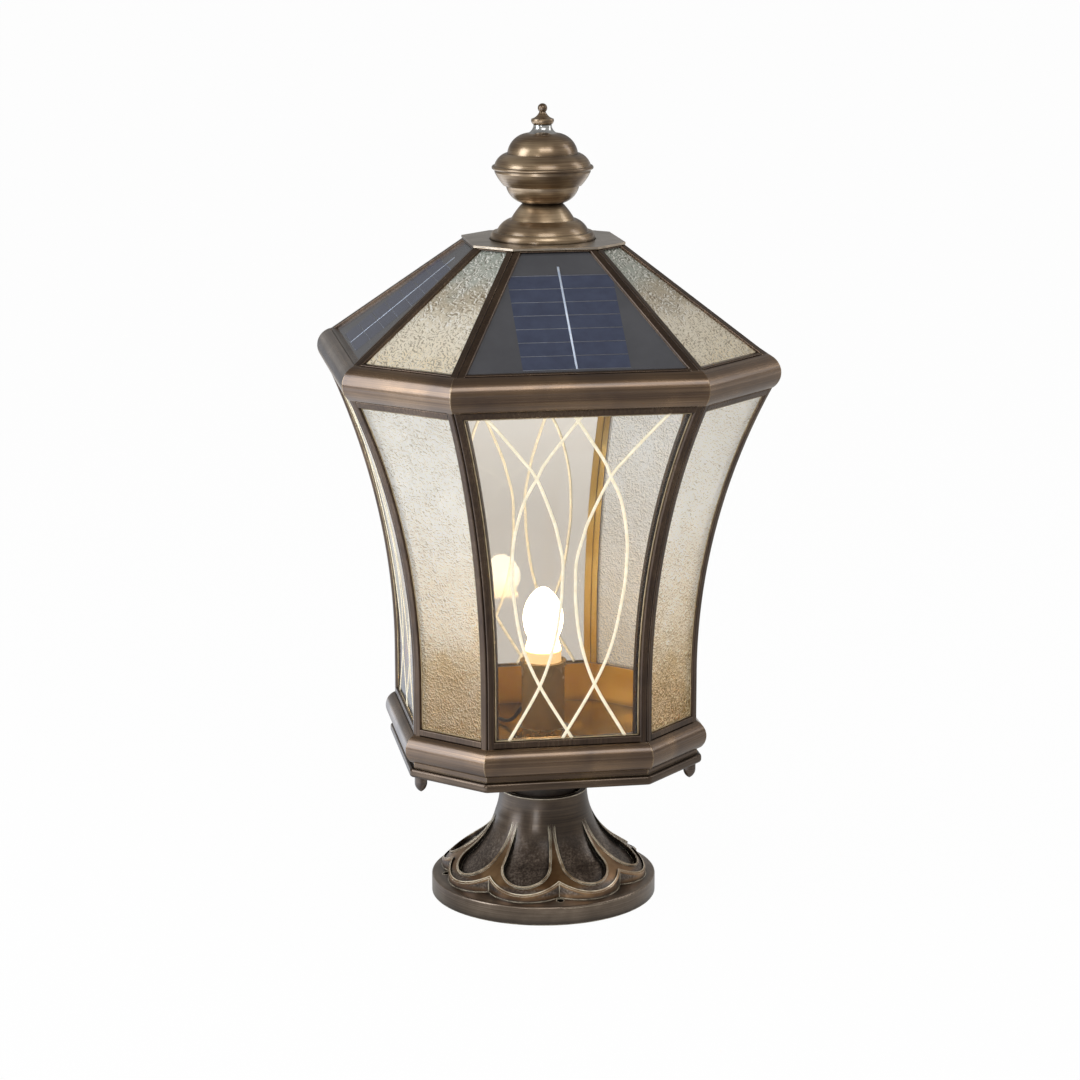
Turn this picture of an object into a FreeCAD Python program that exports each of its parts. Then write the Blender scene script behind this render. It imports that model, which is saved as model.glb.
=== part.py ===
import FreeCAD, Part
import math
import os

from FreeCAD import Vector

# Octagonal pillar lamp: cast pedestal, leaded glass lantern, solar roof and turned finial.
# Millimetres, +Z up, origin at the centre of the pedestal's underside, front face towards -Y.
# The octagon has four wide and four narrow sides: "flat" is the distance from the axis to a wide side,
# and "half" is half the length of that side.

# Fits
thread_gap = 0.05
turning_gap = 0.3
groove_play = 0.1
seam_gap = 0.1

# Pedestal casting
base_radius = 81.0
band_height = 13.5
band_round = 1.5
pedestal_height = 77.0
neck_radius = 31.5
waist_radius = 38.5
waist_height = 51.5
knee_radius = 54.0
knee_height = 34.5
skirt_bow = 1.5
skirt_mid_height = 25.5
skirt_inset = 6.0
skirt_height = 17.0
saucer_width = 20.0
saucer_height = 16.5
cast_wall = 4.5
cup_wall = 4.0
web_thickness = 5.0
cup_depth = 20.0

# Petals of the pedestal
petal_count = 8
cusp_depth = 8.0
petal_slope = 45.0
petal_centre_radius = 50.0
petal_centre_height = 37.0
petal_top_half = 10.9
petal_round = 16.5
petal_top_reach = 30.0
petal_low_reach = 6.0
petal_depth = 2.8
petal_fade_height = 59.0
bead_width = 1.3
bead_height = 1.1

# Fixing holes in the pedestal
fixing_count = 4
fixing_inset = 10.0
fixing_hole_radius = 2.6
fixing_boss_radius = 6.5

# Stem between pedestal and tray
stem_radius = 10.0
stem_bore = 7.5
stem_tail = 12.0
sleeve_radius = 24.0
sleeve_wall = 2.0
neck_gap = 35.0
stem_nut_flats = 34.0
stem_nut_height = 8.0
stem_washer_radius = 20.0
stem_washer = 1.5

# Tray
tray_sheet = 1.5
tray_rim = 6.7
tray_round = 2.4
tray_corner = 4.0

# Strip of the sill and cornice mouldings
strip = 1.3

# Sill moulding
sill_overhang = 6.5
sill_height = 18.8
sill_skirt = 4.7
sill_skirt_inset = 6.2
sill_low_inset = 3.5
sill_shelf_inset = 6.0
sill_back_rise = 5.0
tray_inset = 3.0

# Thumb nuts and the studs that carry them
stud_radius = 2.0
stud_reach = 10.0
nut_radius = 4.7
nut_flange = 5.5
nut_waist_radius = 4.4
nut_tip = 7.0
nut_tip_bow = 0.15
nut_length = 16.8

# Glazing cames
came_face = 5.0
came_depth = 7.0
came_round = 1.0
glass = 3.0
glass_set = 2.0
groove_depth = 3.2
roof_rail_face = 2.4
roof_rail_groove = 1.4

# Lantern body
body_foot_flat = 100.5
body_foot_half = 56.2
body_head_flat = 145.0
body_head_half = 84.1
body_height = 242.6
body_upright = 35.0

# Cornice moulding
cornice_overhang = 5.0
cornice_height = 22.8
cornice_low_inset = 4.9
cornice_top_inset = 8.65
cornice_top_shelf = 14.0
cornice_low_shelf = 10.5

# Roof
roof_corner_inset = 5.0
roof_head_flat = 52.0
roof_head_half = 29.05
roof_rise = 70.2
top_plate_lip = 0.8
top_plate = 1.5
pan_depth = 3.9
pan_room = 0.6

# Finial, turned and spun pieces on one rod
spun_wall = 1.2
rod_radius = 2.5
rod_tail = 5.0
foot_flange_radius = 36.4
foot_flange_edge = 34.6
foot_flange_height = 9.1
foot_tier_radius = 32.0
foot_tier_height = 8.3
foot_step_radius = 24.0
foot_cone_radius = 22.2
foot_cone_height = 9.8
foot_lip_radius = 15.2
foot_lip_height = 1.3
bowl_neck_radius = 12.2
bowl_belly_radius = 25.4
bowl_belly_height = 12.4
bowl_tier_inner = 27.0
bowl_tier_radius = 33.2
bowl_tier_height = 9.2
bowl_rim_height = 1.9
dome_bead_radius = 35.2
dome_bead_height = 2.6
dome_tier_radius = 33.4
dome_tier_height = 8.2
dome_step_radius = 26.0
dome_cap_radius = 24.4
dome_cap_height = 13.9
dome_crown_radius = 10.4
collar_radius = 10.2
collar_waist_radius = 6.3
collar_height = 5.5
knob_foot_radius = 5.8
knob_disc_radius = 7.7
knob_disc_height = 4.2
knob_neck_radius = 2.2
knob_neck_height = 9.0
knob_ball_radius = 3.3
knob_bore = 5.0

# Bow of each curve on the finial, as a share of its length
foot_tier_bow = 0.1
foot_cone_bow = 0.03
bowl_belly_bow = 0.17
bowl_tier_bow = 0.04
dome_tier_bow = 0.12
dome_cap_bow = 0.18
collar_bow = -0.15
knob_disc_bow = 0.2
knob_neck_bow = -0.12

# Lamp holder and bulb
holder_radius = 15.5
holder_rim_radius = 16.7
holder_rim_height = 3.2
holder_height = 48.4
holder_socket_depth = 23.0
holder_foot_bore = 8.0
bulb_cap_radius = 13.0
bulb_cap_height = 31.0
bulb_neck_radius = 10.6
bulb_radius = 14.3
bulb_side_radius = 28.0
bulb_tip_radius = 7.5
bulb_height = 76.5

# Battery can, cells, board and leads
can_radius = 44.0
can_height = 36.0
can_wall = 1.2
cell_radius = 9.2
cell_length = 65.0
cell_pitch = 26.0
board_length = 54.0
board_width = 40.0
board_thickness = 1.6
chip_height = 3.0
chip_size = 12.0
rod_nut_flats = 8.0
rod_nut_height = 4.5
lead_radius = 1.3
lead_straight = 9.0
panel_lead_drop = 12.0
panel_lead_rise = 44.6

# Circles of the pedestal, from its base
skirt_radius = base_radius - skirt_inset
cusp_radius = skirt_radius - cusp_depth
skirt_mid_radius = (knee_radius + skirt_radius) / 2 + skirt_bow
saucer_radius = base_radius - saucer_width
fixing_circle = 2 * (base_radius - fixing_inset)

# Octagons that lie parallel to the foot and the head of the body
mitre = math.tan(math.pi / 8)
cornice_flat = body_head_flat + cornice_overhang
cornice_half = body_head_half + cornice_overhang * mitre
roof_foot_flat = cornice_flat - cornice_top_inset
roof_foot_half = cornice_half - roof_corner_inset
top_plate_flat = roof_head_flat + top_plate_lip
top_plate_half = roof_head_half + top_plate_lip * mitre
pan_radius = foot_flange_radius + pan_room
sill_flat = body_foot_flat + sill_overhang
sill_half = body_foot_half + sill_overhang * mitre
sill_back_inset = sill_overhang + came_depth + 2 * seam_gap
tray_flat = sill_flat - tray_inset
tray_half = sill_half - tray_inset * mitre
tray_wall = tray_round + tray_sheet / 2
stud_inset = tray_inset + tray_wall + nut_radius + turning_gap

# Heights, from the ground up
neck_web_z = pedestal_height - cup_depth
tray_low_z = pedestal_height + neck_gap
tray_top_z = tray_low_z + tray_sheet
sill_low_z = tray_top_z + sill_skirt
body_foot_z = sill_low_z + sill_height
body_head_z = body_foot_z + body_height
roof_foot_z = body_head_z + cornice_height
roof_head_z = roof_foot_z + roof_rise
foot_z = roof_head_z + top_plate - pan_depth
bowl_z = foot_z + foot_flange_height + foot_tier_height + foot_cone_height + foot_lip_height
dome_z = bowl_z + bowl_belly_height + bowl_tier_height + bowl_rim_height
collar_z = dome_z + dome_bead_height + dome_tier_height + dome_cap_height
knob_z = collar_z + collar_height
stem_nut_z = tray_top_z + stem_washer
holder_z = stem_nut_z + stem_nut_height
holder_top_z = holder_z + holder_height
socket_z = holder_top_z - holder_socket_depth
can_top_z = foot_z - top_plate - rod_nut_height
can_low_z = can_top_z - can_height

# The eight sides, by name and by the direction that each faces
WIDE = {"right": 0, "back": 90, "left": 180, "front": 270}
NARROW = {"back_right": 45, "back_left": 135, "front_left": 225, "front_right": 315}

# A prism that has to pass right through a piece reaches this far beyond it
beyond = 1.0

origin = Vector(0, 0, 0)
up = Vector(0, 0, 1)


def arc_through(start, middle, end):
    return Part.Arc(start, middle, end).toShape()


def outline(path):
    """Edges through a path of (r, z) points; a point of (r, z, r_mid, z_mid) is reached by an arc."""
    edges = []
    for before, step in zip(path, path[1:]):
        here = Vector(before[0], 0, before[1])
        there = Vector(step[0], 0, step[1])
        if len(step) == 4:
            edges.append(arc_through(here, Vector(step[2], 0, step[3]), there))
        else:
            edges.append(Part.makeLine(here, there))
    return edges


def bulge(start, end, bow):
    """Arc step to the end point, bowed outwards from the straight line by a share of its length."""
    run = end[0] - start[0]
    rise = end[1] - start[1]
    return end[0], end[1], (start[0] + end[0]) / 2 + rise * bow, (start[1] + end[1]) / 2 - run * bow


def revolved(path, dr=0.0, dz=0.0):
    """Solid of revolution between the axis and a path that runs from its foot to its top."""
    shifted = [tuple(v + (dr, dz)[i % 2] for i, v in enumerate(step)) for step in path]
    ends = [(0.0, shifted[end][1]) for end in (0, -1) if shifted[end][0] > 0]
    closed = shifted + ends[::-1] + shifted[:1] if shifted[0][0] > 0 else shifted + ends + shifted[:1]
    return Part.Face(Part.Wire(outline(closed))).revolve(origin, up, 360)


def cylinder(radius, low, high, x=0.0, y=0.0):
    return Part.makeCylinder(radius, high - low, Vector(x, y, low), up)


def tube(outer, inner, low, high):
    return cylinder(outer, low, high).cut(cylinder(inner, low - beyond, high + beyond))


def polygon_prism(points, low, high):
    corners = [Vector(x, y, low) for x, y in points]
    return Part.Face(Part.makePolygon(corners + corners[:1])).extrude(up * (high - low))


def hexagon(flats, low, high):
    corner = flats / math.sqrt(3)
    turns = [math.radians(60 * i) for i in range(6)]
    return polygon_prism([(corner * math.cos(t), corner * math.sin(t)) for t in turns], low, high)


def octagon(flat, half, low, high):
    corners = [(flat, -half), (flat, half), (half, flat), (-half, flat),
               (-flat, half), (-flat, -half), (-half, -flat), (half, -flat)]
    return polygon_prism(corners, low, high)


def turned_about_axis(shape, angle):
    copy = shape.copy()
    copy.rotate(origin, up, angle)
    return copy


def narrow_side(flat, half):
    """Distance from the axis to a narrow side, and half the length of that side."""
    return (flat + half) / math.sqrt(2), (flat - half) / math.sqrt(2)


def joined(shapes):
    return shapes[0].fuse(shapes[1:]).removeSplitter()


# Pedestal: a trumpet-shaped casting on a round rim, with petals and a scalloped skirt

def trumpet_path(rise=0.0):
    """Outside of the trumpet from the skirt's edge to the neck, raised square to itself by rise."""
    slope = math.radians(petal_slope)
    dr = rise * math.cos(slope)
    dz = rise * math.sin(slope)
    return [
        (skirt_radius + dr, skirt_height + dz),
        (knee_radius + dr, knee_height + dz, skirt_mid_radius + dr, skirt_mid_height + dz),
        (neck_radius, pedestal_height, waist_radius + dr, waist_height + dz),
    ]


def trumpet():
    path = trumpet_path()
    return revolved([(path[0][0], 0.0)] + path)


def trumpet_radius(z):
    """Radius of the trumpet at a height above its knee, on the circle through knee, waist and neck."""
    circle = Part.Circle(Vector(knee_radius, 0, knee_height), Vector(waist_radius, 0, waist_height),
                         Vector(neck_radius, 0, pedestal_height))
    return circle.Center.x - math.sqrt(circle.Radius ** 2 - (z - circle.Center.z) ** 2)


def faded_trumpet(rise):
    """The trumpet moved by rise at its skirt and knee, and back on itself at the petals' fade height."""
    moved = trumpet_path(rise)[:2]
    waist = trumpet_radius(waist_height) + rise / 3
    fade = trumpet_radius(petal_fade_height)
    return revolved([(moved[0][0], 0.0)] + moved + [(fade, petal_fade_height, waist, waist_height)])


def petal_outline(margin):
    """Teardrop outline of a petal, drawn square to the trumpet's slope and grown by margin."""
    slope = math.radians(petal_slope)
    along = Vector(math.cos(slope), 0, -math.sin(slope))
    across = Vector(0, 1, 0)
    centre = Vector(petal_centre_radius, 0, petal_centre_height)

    def place(side, down):
        return centre + across * side + along * down

    top_left = place(-petal_top_half - margin, -petal_top_reach)
    top_right = place(petal_top_half + margin, -petal_top_reach)
    low_left = place(-petal_round - margin, petal_low_reach)
    low_right = place(petal_round + margin, petal_low_reach)
    tip = place(0, petal_low_reach + petal_round + margin)
    edges = [
        Part.makeLine(top_left, low_left),
        arc_through(low_left, tip, low_right),
        Part.makeLine(low_right, top_right),
        Part.makeLine(top_right, top_left),
    ]
    return Part.Face(Part.Wire(edges))


def petal_prism(margin):
    """Prism of a petal's outline, through the trumpet's wall."""
    slope = math.radians(petal_slope)
    normal = Vector(math.sin(slope), 0, math.cos(slope))
    face = petal_outline(margin)
    face.translate(normal * -petal_round)
    return face.extrude(normal * (2 * petal_round))


def scallops(inset):
    """Upright prism of the scalloped skirt: one round lobe for each petal, with cusps between them."""
    half_pitch = math.pi / petal_count
    cusp_along = cusp_radius * math.cos(half_pitch)
    reach = skirt_radius
    centre = (reach ** 2 - cusp_radius ** 2) / (2 * (reach - cusp_along))
    lobe = cylinder(reach - centre - inset, 0, pedestal_height + beyond, centre)
    lobes = [turned_about_axis(lobe, 360 * (i + 0.5) / petal_count) for i in range(petal_count)]
    return joined([cylinder(centre, 0, pedestal_height + beyond)] + lobes)


def pedestal():
    band = [
        (base_radius, 0.0),
        (base_radius, band_height - band_round),
        (base_radius - band_round, band_height, base_radius - band_round * (1 - math.sqrt(0.5)),
         band_height - band_round * (1 - math.sqrt(0.5))),
        (saucer_radius, saucer_height),
    ]
    saucer = revolved(band)
    skirt = trumpet().common(scallops(0.0))
    body = saucer.fuse(skirt)

    # Raised beads along the scalloped edge and round each petal, running out towards the neck
    lift = faded_trumpet(bead_height).cut(trumpet())
    edge_bead = lift.common(scallops(0.0).cut(scallops(bead_width)))
    petal_bead = lift.common(petal_prism(bead_width).cut(petal_prism(0.0)))
    turns = [360 * (i + 0.5) / petal_count for i in range(petal_count)]
    beads = [turned_about_axis(petal_bead, turn) for turn in turns]
    body = body.fuse([edge_bead] + beads)

    # Sunk petals, deepest at the skirt and running out as the beads do
    sunk = faded_trumpet(bead_height).cut(faded_trumpet(-petal_depth))
    petal = sunk.common(petal_prism(0.0))
    body = body.cut([turned_about_axis(petal, turn) for turn in turns])

    # Hollow underneath, with bosses for the fixing screws
    hollow = [
        (base_radius - cast_wall, 0.0),
        (base_radius - cast_wall, band_height - cast_wall),
        (cusp_radius - cast_wall, saucer_height - cast_wall),
        (skirt_mid_radius - 2 * cast_wall, skirt_mid_height - cast_wall),
        (knee_radius - 2 * cast_wall, knee_height - cast_wall),
        (waist_radius - 2 * cast_wall, waist_height - cast_wall),
        (waist_radius - 2 * cast_wall, neck_web_z - web_thickness),
    ]
    bosses = []
    holes = []
    for i in range(fixing_count):
        turn = math.radians(360 * i / fixing_count)
        x = fixing_circle / 2 * math.cos(turn)
        y = fixing_circle / 2 * math.sin(turn)
        bosses.append(cylinder(fixing_boss_radius, 0, band_height, x, y))
        holes.append(cylinder(fixing_hole_radius, -beyond, skirt_mid_height, x, y))
    body = body.cut(revolved(hollow)).fuse(bosses).cut(holes)

    # Open cup in the neck, and the stem's hole through its floor
    cup = cylinder(neck_radius - cup_wall, neck_web_z, pedestal_height + beyond)
    stem_hole = cylinder(stem_radius + thread_gap, 0, pedestal_height)
    return body.cut([cup, stem_hole]).removeSplitter()


# Stem

def stem_tube():
    return tube(stem_radius, stem_bore, neck_web_z - web_thickness - stem_tail, holder_z + holder_foot_bore)


def stem_sleeve():
    return tube(sleeve_radius, sleeve_radius - sleeve_wall, neck_web_z, tray_low_z)


def stem_nuts():
    hole = cylinder(stem_radius + thread_gap, 0, holder_top_z)
    low_z = neck_web_z - web_thickness
    lower = hexagon(stem_nut_flats, low_z - stem_nut_height, low_z).cut(hole)
    upper = hexagon(stem_nut_flats, stem_nut_z, holder_z).cut(hole)
    return Part.makeCompound([lower, upper])


def stem_washer_ring():
    return tube(stem_washer_radius, stem_radius + thread_gap, tray_top_z, stem_nut_z)


# Tray and the fastenings at its corners

def stud_places():
    """The four corners beside the left and right sides, midway in the sill's section."""
    flat = sill_flat - stud_inset
    half = sill_half - stud_inset * mitre
    return [(flat, -half), (flat, half), (-flat, half), (-flat, -half)]


def tray():
    rim_z = tray_top_z - tray_rim
    block = octagon(tray_flat, tray_half, rim_z, tray_top_z)
    upright = [e for e in block.Edges if abs(e.Vertexes[0].Z - e.Vertexes[1].Z) > tray_rim / 2]
    block = block.makeFillet(tray_corner, upright)
    level = [e for e in block.Edges if e.BoundBox.ZLength < tray_rim / 2]
    block = block.makeFillet(tray_round, level)
    pocket = octagon(tray_flat - tray_wall, tray_half - tray_wall * mitre, rim_z - beyond, tray_low_z)
    holes = [cylinder(stud_radius + turning_gap, rim_z, tray_top_z + beyond, x, y) for x, y in stud_places()]
    stem_hole = cylinder(stem_radius + thread_gap, rim_z, tray_top_z + beyond)
    return block.cut([pocket, stem_hole] + holes)


def cage_studs():
    low = tray_low_z - stud_reach
    top = body_foot_z - strip
    return Part.makeCompound([cylinder(stud_radius, low, top, x, y) for x, y in stud_places()])


def thumb_nut(x, y):
    """Acorn-shaped thumb nut with a flange, blind-tapped from above."""
    top = tray_low_z - thread_gap
    low = top - nut_length
    shoulder = top - nut_flange
    nut = revolved([
        (0.0, low),
        bulge((0.0, low), (nut_waist_radius, low + nut_tip), nut_tip_bow),
        (nut_waist_radius, shoulder),
        (nut_radius, shoulder),
        (nut_radius, top),
    ])
    bore = cylinder(stud_radius + thread_gap, tray_low_z - stud_reach - turning_gap, top + beyond)
    nut = nut.cut(bore)
    nut.translate(Vector(x, y, 0))
    return nut


# Mouldings: one section, mitred at the eight corners

def mitred_lengths(section, flat, half):
    """Eight lengths of a moulding; the section is a face with its x counted outwards from the flat."""
    lengths = []
    for sides, (distance, length) in ((WIDE, (flat, half)), (NARROW, narrow_side(flat, half))):
        reach = length + flat
        bar = section.copy()
        bar.translate(Vector(distance, -reach, 0))
        bar = bar.extrude(Vector(0, 2 * reach, 0))
        box = bar.BoundBox
        near = box.XMin - beyond
        far = box.XMax + beyond
        near_half = length + (near - distance) * mitre - seam_gap / 2
        far_half = length + (far - distance) * mitre - seam_gap / 2
        wedge = polygon_prism([(near, -near_half), (far, -far_half), (far, far_half), (near, near_half)],
                              box.ZMin - beyond, box.ZMax + beyond)
        bar = bar.common(wedge)
        lengths += [turned_about_axis(bar, turn) for turn in sides.values()]
    return Part.makeCompound(lengths)


def section_face(path):
    return Part.Face(Part.Wire(outline(path + [path[0]])))


def sill_moulding():
    """Half-round strip with a recessed skirt, a shelf for the body frames and a back leg behind them."""
    back = -sill_back_inset
    shelf = -sill_shelf_inset
    low = -sill_low_inset
    skirt = -sill_skirt_inset
    middle = sill_low_z + sill_height / 2
    top = body_foot_z
    section = section_face([
        (back - strip, tray_top_z),
        (back - strip, top + sill_back_rise),
        (back, top + sill_back_rise),
        (back, top),
        (shelf, top),
        (low, sill_low_z, 0.0, middle),
        (skirt, sill_low_z),
        (skirt, tray_top_z),
        (skirt - strip, tray_top_z),
        (skirt - strip, sill_low_z + strip),
        (low - strip / 4, sill_low_z + strip),
        (shelf - strip / 4, top - strip, -strip, middle),
        (back, top - strip),
        (back, tray_top_z),
    ])
    return mitred_lengths(section, sill_flat, sill_half)


def cornice_moulding():
    """Half-round strip with a shelf under the roof frames and another over the body frames."""
    top_edge = -cornice_top_inset
    low_edge = -cornice_low_inset
    middle = body_head_z + cornice_height / 2
    top_back = top_edge - cornice_top_shelf
    low_back = low_edge - cornice_low_shelf
    section = section_face([
        (top_back, roof_foot_z),
        (top_edge, roof_foot_z),
        (low_edge, body_head_z, 0.0, middle),
        (low_back, body_head_z),
        (low_back, body_head_z + strip),
        (low_edge - strip / 2, body_head_z + strip),
        (top_edge - strip / 2, roof_foot_z - strip, -strip, middle),
        (top_back, roof_foot_z - strip),
    ])
    return mitred_lengths(section, cornice_flat, cornice_half)


# Glazing: each side of the body and of the roof has its own frame of channel came with a pane in it.
# A side is worked out with x outwards, y along the side and z up, and is then turned into its place.

class FlaredSide:
    """Side of the lantern body: upright at the foot, then curving outwards to the head."""

    def __init__(self, foot, head):
        self.foot, self.foot_half = foot
        self.head, self.head_half = head
        self.low = body_foot_z
        self.high = body_head_z
        self.bend = body_foot_z + body_upright
        rise = self.high - self.bend
        run = self.head - self.foot
        self.radius = (run ** 2 + rise ** 2) / (2 * run)
        self.slant = math.hypot(run, self.high - self.low)
        self.rise_share = (self.high - self.low) / self.slant

    def out_at(self, depth, z):
        radius = self.radius + depth
        lift = max(z - self.bend, 0.0)
        return self.foot + self.radius - math.sqrt(radius ** 2 - lift ** 2)

    def edges(self, depth, low, high):
        """Edges of the side's section at a depth below its outer face, from low to high."""
        stops = [z for z in (low, self.bend, high) if low <= z <= high]
        found = []
        for start, end in zip(stops, stops[1:]):
            first = Vector(self.out_at(depth, start), 0, start)
            last = Vector(self.out_at(depth, end), 0, end)
            if end <= self.bend:
                found.append(Part.makeLine(first, last))
            else:
                middle = (start + end) / 2
                found.append(arc_through(first, Vector(self.out_at(depth, middle), 0, middle), last))
        return found


class SlopedSide:
    """Side of the roof: flat, leaning inwards from its foot to its head."""

    def __init__(self, foot, head):
        self.foot, self.foot_half = foot
        self.head, self.head_half = head
        self.low = roof_foot_z
        self.high = roof_head_z
        self.lean = (self.foot - self.head) / (self.high - self.low)
        self.slant = math.hypot(self.foot - self.head, self.high - self.low)
        self.rise_share = (self.high - self.low) / self.slant

    def out_at(self, depth, z):
        return self.foot - (z - self.low) * self.lean - depth * math.hypot(1, self.lean)

    def edges(self, depth, low, high):
        foot = Vector(self.out_at(depth, low), 0, low)
        head = Vector(self.out_at(depth, high), 0, high)
        return [Part.makeLine(foot, head)]


def half_length(side, out, inset):
    """Half the side's length at a distance from the axis, less an inset measured along its surface."""
    spread = (side.head_half - side.foot_half) / (side.head - side.foot)
    edge_slope = (side.head_half - side.foot_half) / side.slant
    return side.foot_half + (out - side.foot) * spread - inset * math.hypot(1, edge_slope)


def slab(side, depths, heights, left, right):
    """Piece of a side between two depths and two heights; left and right are (end, inset) pairs."""
    outer = side.edges(depths[0], *heights)
    inner = side.edges(depths[1], *heights)
    foot = Part.makeLine(inner[0].Vertexes[0].Point, outer[0].Vertexes[0].Point)
    head = Part.makeLine(inner[-1].Vertexes[-1].Point, outer[-1].Vertexes[-1].Point)
    face = Part.Face(Part.Wire(Part.__sortEdges__([foot] + outer + [head] + inner)))
    reach = max(side.foot_half, side.head_half) + beyond
    face.translate(Vector(0, -reach, 0))
    sheet = face.extrude(Vector(0, 2 * reach, 0))
    box = sheet.BoundBox
    near = box.XMin - beyond
    far = box.XMax + beyond
    corners = [(out, end * half_length(side, out, inset))
               for out, (end, inset) in ((near, left), (far, left), (far, right), (near, right))]
    return sheet.common(polygon_prism(corners, box.ZMin - beyond, box.ZMax + beyond))


def came_bar(side, heights, left, right, face, groove):
    """One bar of a frame, with its outer corners rounded to suit its face and its groove cut."""
    bar = slab(side, (0.0, came_depth), heights, left, right)
    outer = [e for e in bar.Edges if all(on_outer_face(side, v.Point) for v in e.Vertexes)]
    longest = max(e.Length for e in outer)
    lengthwise = [e for e in outer if e.Length > came_face * 2 or e.Length == longest]
    return bar.makeFillet(came_round * face / came_face, lengthwise).cut(groove)


def on_outer_face(side, point):
    return abs(point.x - side.out_at(0.0, point.z)) < thread_gap


def came_frame(side, rail_face, rail_groove):
    """Two stiles that run the full height, and two rails between them."""
    low, high = side.low, side.high
    lap = came_face - groove_depth
    rail = rail_face * side.rise_share
    rail_lap = (rail_face - rail_groove) * side.rise_share
    groove_depths = (glass_set - groove_play, glass_set + glass + groove_play)
    groove = slab(side, groove_depths, (low + rail_lap, high - rail_lap), (-1, lap), (1, lap))
    stile_seam = seam_gap / 2
    bars = [
        came_bar(side, (low, high), (-1, stile_seam), (-1, came_face), came_face, groove),
        came_bar(side, (low, high), (1, came_face), (1, stile_seam), came_face, groove),
        came_bar(side, (low, low + rail), (-1, came_face), (1, came_face), rail_face, groove),
        came_bar(side, (high - rail, high), (-1, came_face), (1, came_face), rail_face, groove),
    ]
    return Part.makeCompound(bars)


def pane(side, rail_face, rail_groove):
    lap = came_face - groove_depth + groove_play
    rail_lap = (rail_face - rail_groove) * side.rise_share + groove_play
    heights = (side.low + rail_lap, side.high - rail_lap)
    return slab(side, (glass_set, glass_set + glass), heights, (-1, lap), (1, lap))


def body_sides():
    foot = (body_foot_flat, body_foot_half)
    head = (body_head_flat, body_head_half)
    wide = FlaredSide(foot, head)
    narrow = FlaredSide(narrow_side(*foot), narrow_side(*head))
    return wide, narrow


def roof_sides():
    foot = (roof_foot_flat, roof_foot_half)
    head = (roof_head_flat, roof_head_half)
    wide = SlopedSide(foot, head)
    narrow = SlopedSide(narrow_side(*foot), narrow_side(*head))
    return wide, narrow


# Roof cap and finial

def top_plate_sheet():
    """Octagonal sheet with a round pan pressed into it for the finial's foot."""
    top = roof_head_z + top_plate
    plate = octagon(top_plate_flat, top_plate_half, roof_head_z, top)
    pan = cylinder(pan_radius + top_plate, foot_z - top_plate, top)
    room = cylinder(pan_radius, foot_z, top + beyond)
    rod_hole = cylinder(rod_radius + thread_gap, foot_z - top_plate - beyond, top)
    return plate.fuse(pan).cut([room, rod_hole]).removeSplitter()


def spun_shell(path, facing):
    """Spun sheet with its outside on the path; facing is 1 where that looks up and -1 where it looks down."""
    inside = revolved(path, -spun_wall, -spun_wall * facing)
    bore = cylinder(rod_radius + thread_gap, path[0][1] - beyond, path[-1][1] + beyond)
    return revolved(path).cut([inside, bore])


def finial_foot():
    tier_z = foot_z + foot_flange_height
    cone_z = tier_z + foot_tier_height
    lip_z = cone_z + foot_cone_height
    tier_start = (foot_tier_radius, tier_z)
    tier_end = (foot_step_radius, cone_z)
    cone_start = (foot_cone_radius, cone_z)
    cone_end = (foot_lip_radius, lip_z)
    return spun_shell([
        (foot_flange_edge, foot_z),
        (foot_flange_edge, tier_z, foot_flange_radius, foot_z + foot_flange_height / 2),
        tier_start,
        bulge(tier_start, tier_end, foot_tier_bow),
        cone_start,
        bulge(cone_start, cone_end, foot_cone_bow),
        (foot_lip_radius - spun_wall, bowl_z),
    ], 1)


def finial_bowl():
    tier_z = bowl_z + bowl_belly_height
    rim_z = tier_z + bowl_tier_height
    neck = (bowl_neck_radius, bowl_z)
    belly = (bowl_belly_radius, tier_z)
    tier_start = (bowl_tier_inner, tier_z)
    tier_end = (bowl_tier_radius, rim_z)
    return spun_shell([
        neck,
        bulge(neck, belly, bowl_belly_bow),
        tier_start,
        bulge(tier_start, tier_end, bowl_tier_bow),
        (bowl_tier_radius, dome_z),
    ], -1)


def finial_dome():
    tier_z = dome_z + dome_bead_height
    cap_z = tier_z + dome_tier_height
    tier_start = (dome_tier_radius, tier_z)
    tier_end = (dome_step_radius, cap_z)
    cap_start = (dome_cap_radius, cap_z)
    cap_end = (dome_crown_radius, collar_z)
    return spun_shell([
        (dome_tier_radius, dome_z),
        (dome_tier_radius, tier_z, dome_bead_radius, dome_z + dome_bead_height / 2),
        tier_end + bulge(tier_start, tier_end, dome_tier_bow)[2:],
        cap_start,
        bulge(cap_start, cap_end, dome_cap_bow),
    ], 1)


def finial_collar():
    start = (collar_radius, collar_z)
    end = (collar_waist_radius, knob_z)
    collar = revolved([start, bulge(start, end, collar_bow)])
    return collar.cut(cylinder(rod_radius + thread_gap, collar_z - beyond, knob_z + beyond))


def finial_knob():
    """Turned cap nut with a disc, a neck and a ball, blind-tapped from below."""
    low = knob_z + thread_gap
    disc_z = low + knob_disc_height
    neck_z = low + knob_neck_height
    ball_z = neck_z + math.sqrt(knob_ball_radius ** 2 - knob_neck_radius ** 2)
    start = (knob_foot_radius, low)
    widest = (knob_disc_radius, disc_z)
    neck = (knob_neck_radius, neck_z)
    knob = revolved([
        start,
        bulge(start, widest, knob_disc_bow),
        bulge(widest, neck, knob_neck_bow),
        (0.0, ball_z + knob_ball_radius, knob_ball_radius, ball_z),
    ])
    return knob.cut(cylinder(rod_radius + thread_gap, low - beyond, low + knob_bore))


def finial_rod():
    return cylinder(rod_radius, can_low_z - rod_nut_height - rod_tail, knob_z + knob_bore - turning_gap)


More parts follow.
